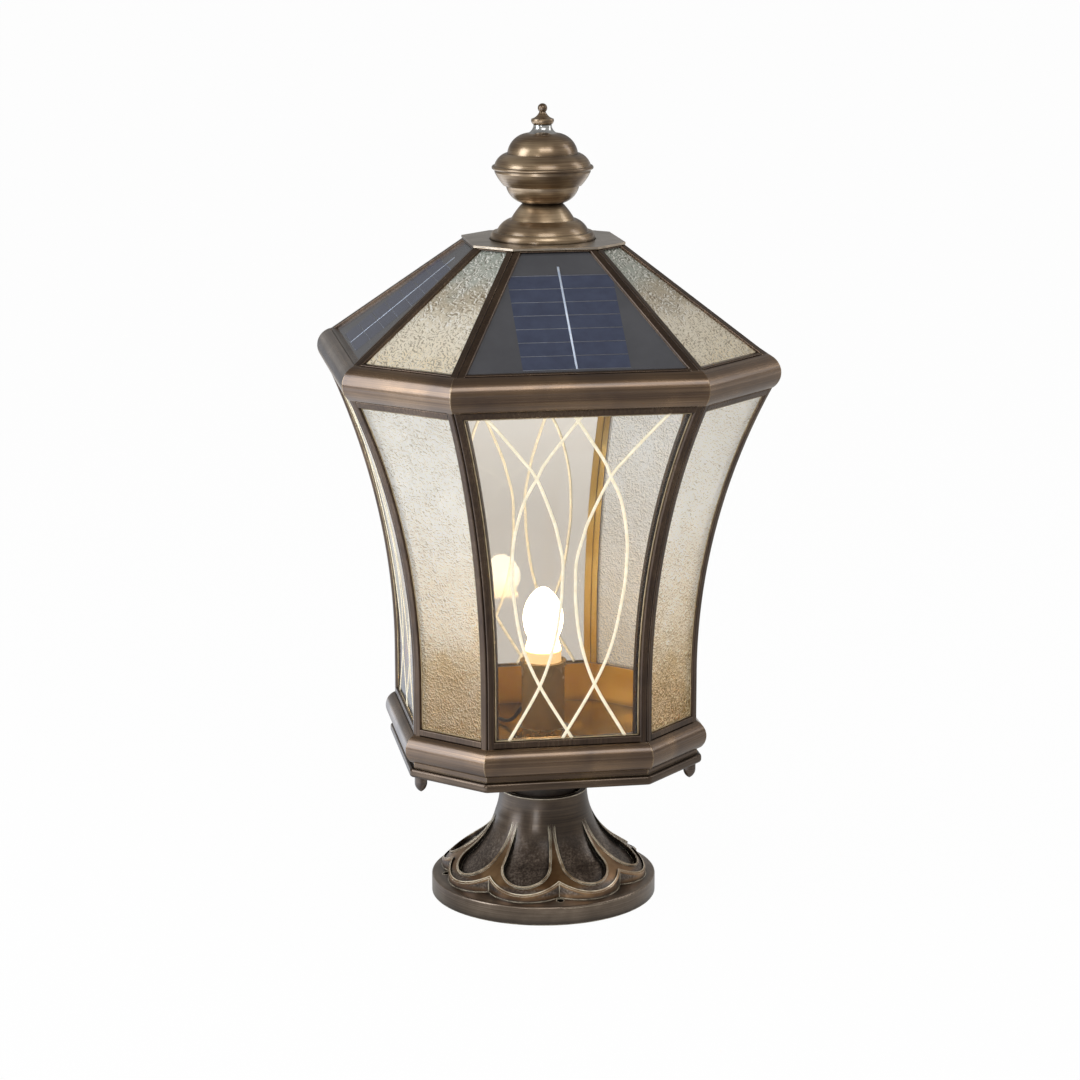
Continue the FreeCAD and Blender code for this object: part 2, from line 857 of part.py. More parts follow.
def rod_nuts():
    hole = cylinder(rod_radius + thread_gap, 0, knob_z)
    upper = hexagon(rod_nut_flats, can_top_z, foot_z - top_plate).cut(hole)
    lower = hexagon(rod_nut_flats, can_low_z - rod_nut_height, can_low_z).cut(hole)
    return Part.makeCompound([upper, lower])


# Lamp holder and bulb

def lamp_holder():
    rim_z = holder_top_z - holder_rim_height
    holder = cylinder(holder_radius, holder_z, rim_z).fuse(cylinder(holder_rim_radius, rim_z, holder_top_z))
    foot = cylinder(stem_radius + thread_gap, holder_z - beyond, holder_z + holder_foot_bore)
    socket = cylinder(bulb_cap_radius + turning_gap, socket_z, holder_top_z + beyond)
    return holder.cut([foot, socket]).removeSplitter()


def bulb():
    """Cap and frosted oval envelope of one sealed bulb, standing on the socket's floor."""
    low = socket_z + thread_gap
    top = low + bulb_height
    tip_z = top - bulb_tip_radius
    side_shift = bulb_side_radius - bulb_radius
    reach = bulb_side_radius - bulb_tip_radius
    middle_z = tip_z - math.sqrt(reach ** 2 - side_shift ** 2)
    neck_z = middle_z - math.sqrt(bulb_side_radius ** 2 - (bulb_neck_radius + side_shift) ** 2)
    turn = math.acos(side_shift / reach)
    half_turn = (turn + math.pi / 2) / 2
    return revolved([
        (bulb_cap_radius, low),
        (bulb_cap_radius, low + bulb_cap_height),
        (bulb_neck_radius, neck_z),
        (bulb_tip_radius * math.cos(turn), tip_z + bulb_tip_radius * math.sin(turn), bulb_radius, middle_z),
        (0.0, top, bulb_tip_radius * math.cos(half_turn), tip_z + bulb_tip_radius * math.sin(half_turn)),
    ])


# Battery can with its contents, and the leads

def battery_can():
    """Round can with a crimped lid, hung on the finial rod."""
    shell = cylinder(can_radius, can_low_z, can_top_z)
    room = cylinder(can_radius - can_wall, can_low_z + can_wall, can_top_z - can_wall)
    hole = cylinder(rod_radius + thread_gap, can_low_z - beyond, can_top_z + beyond)
    return shell.cut([room, hole])


def battery_cells():
    z = can_low_z + can_wall + cell_radius
    along = Vector(1, 0, 0)
    cells = [Part.makeCylinder(cell_radius, cell_length, Vector(-cell_length / 2, y, z), along)
             for y in (-cell_pitch / 2, cell_pitch / 2)]
    return Part.makeCompound(cells)


def control_board():
    """Circuit board on top of the cells, with one packaged chip beside the rod's hole."""
    low = can_low_z + can_wall + 2 * cell_radius
    corner = Vector(-board_length / 2, -board_width / 2, low)
    board = Part.makeBox(board_length, board_width, board_thickness, corner)
    chip = Part.makeBox(chip_size, chip_size, chip_height,
                        Vector(board_length / 4 - chip_size / 2, -chip_size / 2, low + board_thickness))
    rod_hole = cylinder(rod_radius + turning_gap, low - beyond, low + board_thickness + beyond)
    return board.fuse(chip).cut(rod_hole)


def lead(points):
    """Round lead along straight runs joined by arcs as large as the runs allow."""
    edges = []
    start = points[0]
    for before, corner, after in zip(points, points[1:], points[2:]):
        back = before - corner
        ahead = after - corner
        trim = 0.45 * min(back.Length, ahead.Length)
        back.normalize()
        ahead.normalize()
        enter = corner + back * trim
        leave = corner + ahead * trim
        half_turn = (math.pi - back.getAngle(ahead)) / 2
        radius = trim / math.tan(half_turn)
        inward = back + ahead
        inward.normalize()
        middle = corner + inward * (radius / math.cos(half_turn) - radius)
        edges.append(Part.makeLine(start, enter))
        edges.append(arc_through(enter, middle, leave))
        start = leave
    edges.append(Part.makeLine(start, points[-1]))
    spine = Part.Wire(edges)
    first = points[1] - points[0]
    ring = Part.Wire(Part.makeCircle(lead_radius, points[0], first))
    return spine.makePipeShell([ring], True, False)


def panel_leads():
    """From the underside of each solar panel to the wall of the battery can."""
    wide, narrow = roof_sides()
    z = roof_foot_z + panel_lead_rise
    out = wide.out_at(glass_set + glass, z)
    lean = math.hypot(1, wide.lean)
    inward = Vector(-1 / lean, 0, -wide.lean / lean)
    start = Vector(out, 0, z)
    turn = start + inward * panel_lead_drop
    one = lead([start, turn, Vector(can_radius, 0, turn.z)])
    return Part.makeCompound([turned_about_axis(one, angle) for angle in WIDE.values()])


def lamp_lead():
    """From the battery can down the inside of the back left corner and over the tray to the lamp holder."""
    wide, narrow = body_sides()
    corner_turn = math.atan2(body_foot_flat, -body_foot_half)
    clear = came_depth + 3 * lead_radius

    def at(out, z):
        return Vector(out * math.cos(corner_turn), out * math.sin(corner_turn), z)

    def in_corner(z):
        out = wide.out_at(clear, z)
        return at(math.hypot(out, half_length(wide, out, 0.0)), z)

    run_z = tray_top_z + 2 * lead_radius
    entry_z = holder_z + holder_foot_bore
    inside_cornice = cornice_flat - cornice_top_inset - cornice_top_shelf
    under_roof = at(inside_cornice, roof_foot_z + cornice_height / 2)
    down = [in_corner(body_head_z - body_height * share) for share in (0.1, 0.3, 0.5, 0.7, 0.9)]
    foot_out = down[-1].x / math.cos(corner_turn)
    can_z = can_low_z + can_wall + cell_radius
    route = [at(can_radius, can_z), at(can_radius + lead_straight, can_z), under_roof] + down + [
        at(foot_out - came_depth, run_z),
        at(stem_washer_radius + 2 * lead_straight, run_z),
        at(holder_radius + lead_straight, entry_z),
        at(holder_radius, entry_z),
    ]
    return lead(route)


def parts():
    """Every piece of the lamp by name."""
    made = {
        "pedestal": pedestal(),
        "stem_tube": stem_tube(),
        "stem_sleeve": stem_sleeve(),
        "stem_nuts": stem_nuts(),
        "stem_washer": stem_washer_ring(),
        "tray": tray(),
        "sill_moulding": sill_moulding(),
        "cage_studs": cage_studs(),
        "cornice_moulding": cornice_moulding(),
        "top_plate": top_plate_sheet(),
        "finial_foot": finial_foot(),
        "finial_bowl": finial_bowl(),
        "finial_dome": finial_dome(),
        "finial_collar": finial_collar(),
        "finial_knob": finial_knob(),
        "finial_rod": finial_rod(),
        "rod_nuts": rod_nuts(),
        "lamp_holder": lamp_holder(),
        "bulb": bulb(),
        "battery_can": battery_can(),
        "battery_cells": battery_cells(),
        "control_board": control_board(),
        "panel_leads": panel_leads(),
        "lamp_lead": lamp_lead(),
    }
    for number, (x, y) in enumerate(stud_places(), 1):
        made[f"thumb_nut_{number}"] = thumb_nut(x, y)
    families = (
        ("body", body_sides(), "body_pane", came_face, groove_depth),
        ("roof", roof_sides(), "solar_panel", roof_rail_face, roof_rail_groove),
    )
    for family, sides, wide_pane, rail, rail_groove in families:
        for side, places, pane_name in zip(sides, (WIDE, NARROW), (wide_pane, f"{family}_pane")):
            frame = came_frame(side, rail, rail_groove)
            sheet = pane(side, rail, rail_groove)
            for place, turn in places.items():
                made[f"{family}_frame_{place}"] = turned_about_axis(frame, turn)
                made[f"{pane_name}_{place}"] = turned_about_axis(sheet, turn)
    return made


def main():
    os.makedirs("parts", exist_ok=True)
    for name, shape in parts().items():
        shape.exportStep(f"parts/{name}.step")


main()
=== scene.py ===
import math

import bpy
from mathutils import Matrix, Vector


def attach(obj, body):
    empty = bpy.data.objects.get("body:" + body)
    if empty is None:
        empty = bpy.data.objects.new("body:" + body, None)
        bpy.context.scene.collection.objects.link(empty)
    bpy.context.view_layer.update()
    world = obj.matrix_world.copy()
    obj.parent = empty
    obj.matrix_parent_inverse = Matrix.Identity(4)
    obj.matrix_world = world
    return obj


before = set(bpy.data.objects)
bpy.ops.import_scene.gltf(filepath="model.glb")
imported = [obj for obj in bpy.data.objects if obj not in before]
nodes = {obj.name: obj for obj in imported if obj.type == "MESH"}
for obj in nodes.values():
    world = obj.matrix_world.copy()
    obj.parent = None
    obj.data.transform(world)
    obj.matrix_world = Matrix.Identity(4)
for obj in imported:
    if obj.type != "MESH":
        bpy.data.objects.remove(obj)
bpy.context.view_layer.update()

WIDE = {"right": 0, "back": 90, "left": 180, "front": 270}
NARROW = {"back_right": 45, "back_left": 135, "front_left": 225, "front_right": 315}

# Lantern surfaces in metres, as in the part: distance to the wide flat, half width of the side, height
BODY_FOOT = (0.1005, 0.0562, 0.137)
BODY_HEAD = (0.145, 0.0841, 0.3796)
BODY_BEND = 0.172
# Of the roof's wide sides: distance to the flat, height
ROOF_FOOT = (0.14135, 0.4024)
ROOF_HEAD = (0.052, 0.4726)
CAME = 0.005
GLASS_SET = 0.002


def srgb(red, green, blue):
    """Linear colour from 0 to 255 display values."""
    def linear(value):
        value /= 255
        return value / 12.92 if value <= 0.04045 else ((value + 0.055) / 1.055) ** 2.4
    return (linear(red), linear(green), linear(blue), 1.0)


class Graph:
    """The node tree of a material or the world, with a short way to add a node and feed its inputs."""

    def __init__(self, name, kind="materials", output="ShaderNodeOutputMaterial", coords="Object"):
        self.owner = getattr(bpy.data, kind).new(name)
        self.owner.use_nodes = True
        self.tree = self.owner.node_tree
        self.tree.nodes.clear()
        self.output = self.tree.nodes.new(output)
        self.coords = self.tree.nodes.new("ShaderNodeTexCoord").outputs[coords]

    def node(self, kind, inputs=None, **settings):
        made = self.tree.nodes.new(kind)
        for key, value in settings.items():
            setattr(made, key, value)
        for key, value in (inputs or {}).items():
            if isinstance(value, bpy.types.NodeSocket):
                self.tree.links.new(value, made.inputs[key])
            else:
                made.inputs[key].default_value = value
        return made

    def math(self, operation, a, b=0.0):
        return self.node("ShaderNodeMath", {0: a, 1: b}, operation=operation).outputs[0]

    def vector(self, operation, a, b=(0.0, 0.0, 0.0), output="Vector"):
        return self.node("ShaderNodeVectorMath", {0: a, 1: b}, operation=operation).outputs[output]

    def parts(self, vector):
        """The x, y and z of a vector."""
        return self.node("ShaderNodeSeparateXYZ", {0: vector}).outputs

    def scaled(self, scale):
        return self.node("ShaderNodeMapping", {"Vector": self.coords, "Scale": scale}).outputs[0]

    def moved(self, step):
        return self.vector("ADD", self.coords, step)

    def noise(self, scale, detail=3.0, roughness=0.55, distortion=0.0, vector=None):
        return self.node("ShaderNodeTexNoise", {
            "Vector": vector or self.coords, "Scale": scale, "Detail": detail, "Roughness": roughness,
            "Distortion": distortion}).outputs["Fac"]

    def remap(self, value, low, high, to_low=0.0, to_high=1.0, kind="SMOOTHSTEP"):
        return self.node("ShaderNodeMapRange", {
            "Value": value, "From Min": low, "From Max": high, "To Min": to_low, "To Max": to_high},
            interpolation_type=kind).outputs[0]

    def remap_straight(self, value, low, high, to_low=0.0, to_high=1.0):
        return self.remap(value, low, high, to_low, to_high, "LINEAR")

    def ramp(self, value, stops):
        stops = list(stops)
        made = self.node("ShaderNodeValToRGB", {"Fac": value})
        points = made.color_ramp.elements
        while len(points) < len(stops):
            points.new(0.5)
        for point, (place, colour) in zip(points, stops):
            point.position = place
            point.color = colour
        return made.outputs["Color"]

    def blend(self, factor, a, b, mode="MIX"):
        made = self.node("ShaderNodeMix", data_type="RGBA", blend_type=mode)
        for socket, value in ((made.inputs[0], factor), (made.inputs[6], a), (made.inputs[7], b)):
            if isinstance(value, bpy.types.NodeSocket):
                self.tree.links.new(value, socket)
            else:
                socket.default_value = value
        return made.outputs[2]

    def bump(self, height, distance, strength=1.0):
        return self.node("ShaderNodeBump", {
            "Height": height, "Distance": distance, "Strength": strength}).outputs["Normal"]

    def worn_edges(self, radius, low, high):
        """From 0 on flat stretches to 1 on sharp edges."""
        rounded = self.node("ShaderNodeBevel", {"Radius": radius}, samples=6).outputs[0]
        true = self.node("ShaderNodeNewGeometry").outputs["Normal"]
        lined_up = self.vector("DOT_PRODUCT", rounded, true, "Value")
        return self.remap(self.math("SUBTRACT", 1.0, lined_up), low, high)

    def faces_inside(self):
        """1 on faces that look towards the lamp's axis or up from the tray, 0 on the outside."""
        normal = self.node("ShaderNodeNewGeometry").outputs["Normal"]
        level = self.vector("MULTIPLY", self.coords, (-1.0, -1.0, 0.0))
        inward = self.vector("NORMALIZE", level)
        reach = self.vector("LENGTH", level, output="Value")
        towards = self.vector("DOT_PRODUCT", normal, inward, "Value")
        up = self.parts(normal)[2]
        height = self.parts(self.coords)[2]
        above_tray, on_tray = 0.115, 0.114
        past_rim, within_rim = 0.106, 0.1
        floor = self.math("MULTIPLY", self.remap(up, 0.6, 0.9), self.remap(height, above_tray, on_tray))
        floor = self.math("MULTIPLY", floor, self.remap(reach, past_rim, within_rim))
        return self.math("MAXIMUM", self.remap(towards, 0.15, 0.45), floor)

    def crevices(self, distance, alone=False):
        """From 0 deep in a corner to 1 in the open; neighbours don't count for a piece taken alone."""
        made = self.node("ShaderNodeAmbientOcclusion", {"Distance": distance}, samples=8, only_local=alone)
        return made.outputs["AO"]

    def creases(self, scale, place=None):
        """A crumpled height: 0 along crooked creases, rising between them."""
        return self.math("ABSOLUTE", self.math("SUBTRACT", self.noise(scale, 2.0, 0.5, 1.2, place), 0.5))

    def shaded(self, colour, light):
        """A colour multiplied by a grey level."""
        grey = self.node("ShaderNodeCombineColor", {0: light, 1: light, 2: light}).outputs[0]
        return self.blend(1.0, colour, grey, "MULTIPLY")

    def principled(self, **inputs):
        names = {key.replace("_", " "): value for key, value in inputs.items()}
        return self.node("ShaderNodeBsdfPrincipled", names).outputs[0]

    def mix(self, factor, a, b):
        return self.node("ShaderNodeMixShader", {0: factor, 1: a, 2: b}).outputs[0]

    def show(self, shader):
        self.tree.links.new(shader, self.output.inputs["Surface"])
        return self.owner


# Colours, most of them from dark to light

TONE_PLACES = (0.36, 0.5, 0.64)
BRUSHED_PLACES = (0.34, 0.5, 0.66)
BROWN = (srgb(82, 57, 34), srgb(104, 77, 48), srgb(134, 103, 69))
DARK = (srgb(62, 45, 31), srgb(78, 59, 42), srgb(98, 77, 57))
SHEET = (srgb(68, 52, 37), srgb(84, 66, 48), srgb(104, 84, 64))
BRONZE = (srgb(78, 58, 36), srgb(122, 97, 67), srgb(176, 150, 116))
PLATE = (srgb(140, 126, 108), srgb(170, 156, 137), srgb(196, 182, 164))
# Painted bulb light: lighter gold tones for the faces of the brass that look inside the lantern
GOLD = (srgb(206, 154, 56), srgb(220, 170, 68), srgb(234, 188, 86))
OLD_GOLD = (srgb(106, 80, 22), srgb(142, 110, 36), srgb(182, 148, 64))
PALE_GOLD = (srgb(216, 176, 84), srgb(230, 192, 102), srgb(242, 208, 124))
# Painted highlight: the finial's foot takes lighter tones than the rest of the finial
FOOT = (srgb(104, 81, 54), srgb(154, 128, 95), srgb(206, 180, 144))
RIB = (srgb(112, 80, 48), srgb(146, 110, 72), srgb(180, 142, 100))
PETAL = (srgb(62, 53, 46), srgb(108, 94, 82), srgb(168, 152, 137))
NECK = (srgb(58, 45, 33), srgb(75, 60, 45), srgb(96, 79, 61))
BAND = (srgb(104, 88, 73), srgb(130, 113, 96), srgb(160, 142, 123))
RUBBED = srgb(226, 194, 148)
RUBBED_CAME = srgb(164, 140, 112)
RUBBED_FINIAL = srgb(226, 202, 164)
RUBBED_NUT = srgb(190, 160, 124)
RUBBED_CASTING = srgb(255, 240, 210)

# Tints of the textured glass by height; in the body glass the warm brown towards the foot is painted light of
# the bulb and of the gold inside seen through it
BODY_STOPS = ((0.0, srgb(156, 124, 64)), (0.16, srgb(190, 164, 112)), (0.38, srgb(228, 217, 195)),
              (0.7, srgb(244, 243, 237)), (1.0, srgb(242, 240, 232)))
# In the roof glass the bright cream towards the foot is a painted sheen on the glass's tint
ROOF_STOPS = ((0.0, srgb(255, 246, 226)), (0.36, srgb(248, 238, 216)), (0.56, srgb(196, 183, 158)),
              (0.76, srgb(186, 188, 176)), (1.0, srgb(172, 177, 166)))


# Metals

def aged_brass(name, tones, rubbed, grain, roughness=0.3, wear=0.9, lacquer=0.6, edge=0.0007, streaks=0.5,
               bulb_lit_tones=None, inner_metal=0.3, alone=False):
    """Lacquered brass, brushed along the grain, with painted shade in its corners and rubbed bright at its
    edges.

    Faces that look inside may have tones of their own, lighter gold as painted bulb light. A piece next to
    glass is taken alone, because the glass would darken it with painted shade as a wall does.
    """
    g = Graph(name)
    streak = g.noise(1.0, 3.0, 0.5, vector=g.scaled(grain))
    mottle = g.noise(30.0, 2.0, 0.5, 0.4)
    tone = g.math("ADD", g.math("MULTIPLY", streak, streaks), g.math("MULTIPLY", mottle, 1 - streaks))
    metallic = 0.85
    colour = g.ramp(tone, zip(TONE_PLACES, tones))
    rough = g.remap(tone, 0.3, 0.7, roughness + 0.05, roughness - 0.05)
    # Painted shade: the colour darkens where ambient occlusion finds a corner or a neighbouring part
    corner_shade = g.remap(g.crevices(0.008, alone), 0.35, 0.95, 0.25, 1.0)
    shine = g.math("MULTIPLY", corner_shade, lacquer)
    # Painted bulb light: faces that look inside take lighter gold tones and lose most of the painted corner
    # shade
    if bulb_lit_tones:
        inside = g.faces_inside()
        colour = g.blend(inside, colour, g.ramp(mottle, zip(TONE_PLACES, bulb_lit_tones)))
        rough = g.math("SUBTRACT", rough, g.math("MULTIPLY", inside, 0.12))
        corner_shade = g.math("MAXIMUM", corner_shade, g.math("MULTIPLY", inside, 0.5))
        metallic = g.remap(inside, 0.0, 1.0, metallic, inner_metal)
        shine = g.math("MULTIPLY", shine, g.remap(inside, 0.0, 1.0, 1.0, 0.3))
    patchy = g.remap(g.noise(90.0, 3.0), 0.3, 0.6, wear * 0.3, wear)
    colour = g.blend(g.math("MULTIPLY", g.worn_edges(edge, 0.02, 0.12), patchy), colour, rubbed)
    # The painted corner shade is multiplied into the colour here
    colour = g.shaded(colour, corner_shade)
    return g.show(g.principled(Base_Color=colour, Metallic=metallic, Roughness=rough, Coat_Weight=shine,
                               Coat_Roughness=0.2, Coat_IOR=2.0, Normal=g.bump(streak, 0.0001, 0.2)))


def plain_metal(name, low, high, roughness, metallic=1.0, scale=60.0):
    """Metal with a soft mottle from a low to a high colour."""
    g = Graph(name)
    tone = g.noise(scale, 4.0, 0.6)
    colour = g.ramp(tone, [(0.35, low), (0.65, high)])
    rough = g.remap(tone, 0.3, 0.7, roughness + 0.07, roughness - 0.05)
    return g.show(g.principled(Base_Color=colour, Metallic=metallic, Roughness=rough))


def cast_bronze(name):
    """Casting with dark grainy petals, golden ribs and bright beads.

    Petals are told from ribs by their depth below the trumpet-shaped outside.
    """
    g = Graph(name)
    x, y, height = g.parts(g.coords)
    flat = g.node("ShaderNodeCombineXYZ", {0: x, 1: y}).outputs[0]
    radius = g.vector("LENGTH", flat, output="Value")
    span = 0.1
    profile = g.node("ShaderNodeFloatCurve", {"Value": g.math("DIVIDE", height, span)})
    curve = profile.mapping.curves[0]
    trumpet = [(0.0, 0.0777), (0.017, 0.075), (0.0255, 0.066), (0.0345, 0.054), (0.042, 0.0458),
               (0.0515, 0.0385), (0.064, 0.0339), (0.077, 0.0315), (0.1, 0.031)]
    curve.points[0].location = (trumpet[0][0] / span, trumpet[0][1] / span)
    curve.points[1].location = (trumpet[-1][0] / span, trumpet[-1][1] / span)
    for z, r in trumpet[1:-1]:
        curve.points.new(z / span, r / span)
    profile.mapping.update()
    outside = g.math("MULTIPLY", profile.outputs[0], span)
    depth = g.math("SUBTRACT", outside, radius)
    grain = g.noise(620.0, 3.0, 0.7)
    mottle = g.noise(45.0, 3.0, 0.55)
    turned = g.noise(1.0, 3.0, 0.5, vector=g.scaled((20.0, 20.0, 1400.0)))
    brushed = g.math("ADD", g.math("MULTIPLY", mottle, 0.55), g.math("MULTIPLY", turned, 0.45))
    coarse = g.math("ADD", g.math("MULTIPLY", grain, 0.6), g.math("MULTIPLY", mottle, 0.4))
    band_low, band_top, skirt_low = 0.0145, 0.0165, 0.02
    neck_low, neck_high = 0.034, 0.056
    sunk = g.math("MULTIPLY", g.remap(depth, 0.0002, 0.001), g.remap(height, band_top, skirt_low))
    colour = g.blend(sunk, g.ramp(mottle, zip(TONE_PLACES, RIB)), g.ramp(coarse, zip(TONE_PLACES, PETAL)))
    neck = g.ramp(brushed, zip(BRUSHED_PLACES, NECK))
    colour = g.blend(g.remap(height, neck_low, neck_high), colour, neck)
    band = g.ramp(brushed, zip(BRUSHED_PLACES, BAND))
    colour = g.blend(g.remap(height, band_top, band_low), colour, band)
    near = g.crevices(0.006)
    # Painted shade: ambient occlusion darkens the colour in tight corners, and more broadly next to the
    # scalloped skirt and other recesses
    colour = g.shaded(colour, g.remap(near, 0.35, 0.95, 0.16, 1.0))
    colour = g.shaded(colour, g.remap(g.crevices(0.03), 0.4, 0.95, 0.35, 1.0))
    patchy = g.remap(g.noise(70.0, 3.0), 0.38, 0.58, 0.4, 1.0)
    patchy = g.math("MULTIPLY", patchy, g.remap(near, 0.42, 0.66))
    edges = g.math("MULTIPLY", g.worn_edges(0.0015, 0.02, 0.1), patchy)
    colour = g.blend(edges, colour, RUBBED_CASTING)
    rough = g.math("ADD", 0.32, g.math("MULTIPLY", sunk, 0.1))
    metallic = g.remap(edges, 0.0, 1.0, 0.85, 0.2)
    grainy = g.bump(grain, 0.0003, g.remap(sunk, 0.0, 1.0, 0.05, 0.6))
    return g.show(g.principled(Base_Color=colour, Metallic=metallic, Roughness=rough, Coat_Weight=0.4,
                               Coat_IOR=1.8, Coat_Roughness=0.24, Normal=grainy))


# Glass

def clear_glass(name):
    """Thin clear sheet with a grey tint, paler near its top, and a faint haze.

    Its gloss rises towards edge-on views alike on both faces, so that the sheet doesn't mirror within itself.
    """
    g = Graph(name)
    grey, pale = (0.89, 0.87, 0.842, 1.0), (0.985, 0.97, 0.945, 1.0)
    tint = g.ramp(g.remap(g.parts(g.coords)[2], 0.29, 0.37), [(0.0, grey), (1.0, pale)])
    haze = g.remap(g.noise(9.0, 3.0, 0.6), 0.3, 0.7, 0.01, 0.04)
    through = g.node("ShaderNodeBsdfTransparent", {"Color": tint}).outputs[0]
    film = g.node("ShaderNodeBsdfDiffuse", {"Color": srgb(222, 218, 210)}).outputs[0]
    mirror = g.node("ShaderNodeBsdfGlossy", {"Color": (1, 1, 1, 1), "Roughness": 0.04}).outputs[0]
    edge_on = g.node("ShaderNodeLayerWeight", {"Blend": 0.5}).outputs["Facing"]
    gloss = g.math("ADD", g.math("MULTIPLY", g.math("POWER", edge_on, 5.0), 0.9), 0.03)
    return g.show(g.mix(gloss, g.mix(haze, through, film), mirror))


def water_glass(name, stops, low_z, high_z, scale, step, through, painted_glow, depth):
    """Rolled glass with a crumpled face, with painted light and shade on the two sides of each crease; its
    tint changes with height.
    """
    g = Graph(name)
    crease = g.creases(scale)
    beside = g.creases(scale, g.moved([part / scale for part in step]))
    level = g.remap_straight(g.parts(g.coords)[2], low_z, high_z)
    patch = g.math("SUBTRACT", g.noise(34.0, 3.0, 0.55, 1.2), 0.5)
    level = g.math("ADD", level, g.math("MULTIPLY", patch, 0.5))
    uneven = g.remap(g.noise(60.0, 2.0), 0.36, 0.62, 0.5, 1.0)
    strong = g.math("ADD", g.remap(level, 0.1, 0.6, 0.5, 0.0), uneven)
    # Painted light and shade: the crease height against the height a step away decides which side of a crease
    # is painted lit and which painted shaded
    slope = g.math("MULTIPLY", g.math("SUBTRACT", crease, beside), g.math("MULTIPLY", strong, depth))
    tint = g.ramp(level, stops)
    # Painted light: faces that look inside are paled towards a cool white, as if lit from behind through the
    # glass
    tint = g.blend(g.math("MULTIPLY", g.faces_inside(), 0.9), tint, srgb(236, 241, 247))
    # Painted shade: a darker, browner copy of the tint for the shaded sides and the valleys of the creases
    shade = g.blend(1.0, tint, (0.36, 0.31, 0.24, 1.0), "MULTIPLY")
    valley_shade = g.math("MULTIPLY", g.remap(crease, 0.0, 0.018, 0.32, 0.0), strong)
    dark = g.math("MAXIMUM", g.remap(slope, -0.05, -0.28, 0.0, 0.85), valley_shade)
    colour = g.blend(dark, tint, shade)
    # Painted highlight: a pale glint colour for the lit sides
    painted_glint = g.ramp(level, ((0.0, srgb(248, 228, 186)), (0.4, srgb(255, 252, 244))))
    colour = g.blend(g.remap(slope, 0.06, 0.24, 0.0, 0.9), colour, painted_glint)
    # Painted glow: the emission makes the glass glow in its own colour, though it is no lamp
    return g.show(g.principled(
        Base_Color=colour, Roughness=0.3, IOR=1.45, Transmission_Weight=through, Emission_Color=colour,
        Emission_Strength=painted_glow, Normal=g.bump(crease, 0.0012, 0.5)))


def bulb_glass(name):
    """Frosted envelope, lit, over a bright screw cap that hides in the holder."""
    g = Graph(name)
    height = g.parts(g.coords)[2]
    cap_top, lit_from = 0.1785, 0.1815
    lit = g.remap(height, cap_top, lit_from, 0.04, 1.0)
    warm = g.ramp(g.remap(height, 0.178, 0.205), [(0.0, srgb(255, 206, 130)), (1.0, srgb(255, 236, 200))])
    strength = g.math("MULTIPLY", lit, g.remap(g.noise(30.0), 0.3, 0.7, 20.0, 24.0))
    return g.show(g.principled(Base_Color=srgb(240, 228, 205), Roughness=0.4, Emission_Color=warm,
                               Emission_Strength=strength))


def solar_glass(name):
    """Dark backing of a solar panel under gloss glass."""
    g = Graph(name)
    tone = g.noise(26.0, 4.0, 0.6)
    colour = g.ramp(tone, [(0.3, srgb(72, 72, 75)), (0.7, srgb(82, 82, 85))])
    return g.show(g.principled(Base_Color=colour, Roughness=g.remap(tone, 0.3, 0.7, 0.16, 0.1)))


def soft_solid(name, low, high, roughness, scale=120.0):
    """Paint, plastic or a printed line with a soft mottle from a low to a high colour."""
    g = Graph(name)
    tone = g.noise(scale, 4.0, 0.6)
    colour = g.ramp(tone, [(0.32, low), (0.68, high)])
    return g.show(g.principled(Base_Color=colour, Roughness=roughness, Normal=g.bump(tone, 0.0002, 0.2)))


def engraving(name, low, high):
    """Ground lines in the clear glass, with a painted glow that stands in for the bulb's light, stronger on
    the inner side.
    """
    g = Graph(name)
    colour = g.ramp(g.noise(200.0, 4.0, 0.6), [(0.32, low), (0.68, high)])
    # Painted glow: the lines emit their own colour, more on faces that look inside
    painted_glow = g.remap(g.faces_inside(), 0.0, 1.0, 0.62, 1.5)
    return g.show(g.principled(Base_Color=colour, Roughness=0.5, Emission_Color=colour,
                               Emission_Strength=painted_glow))


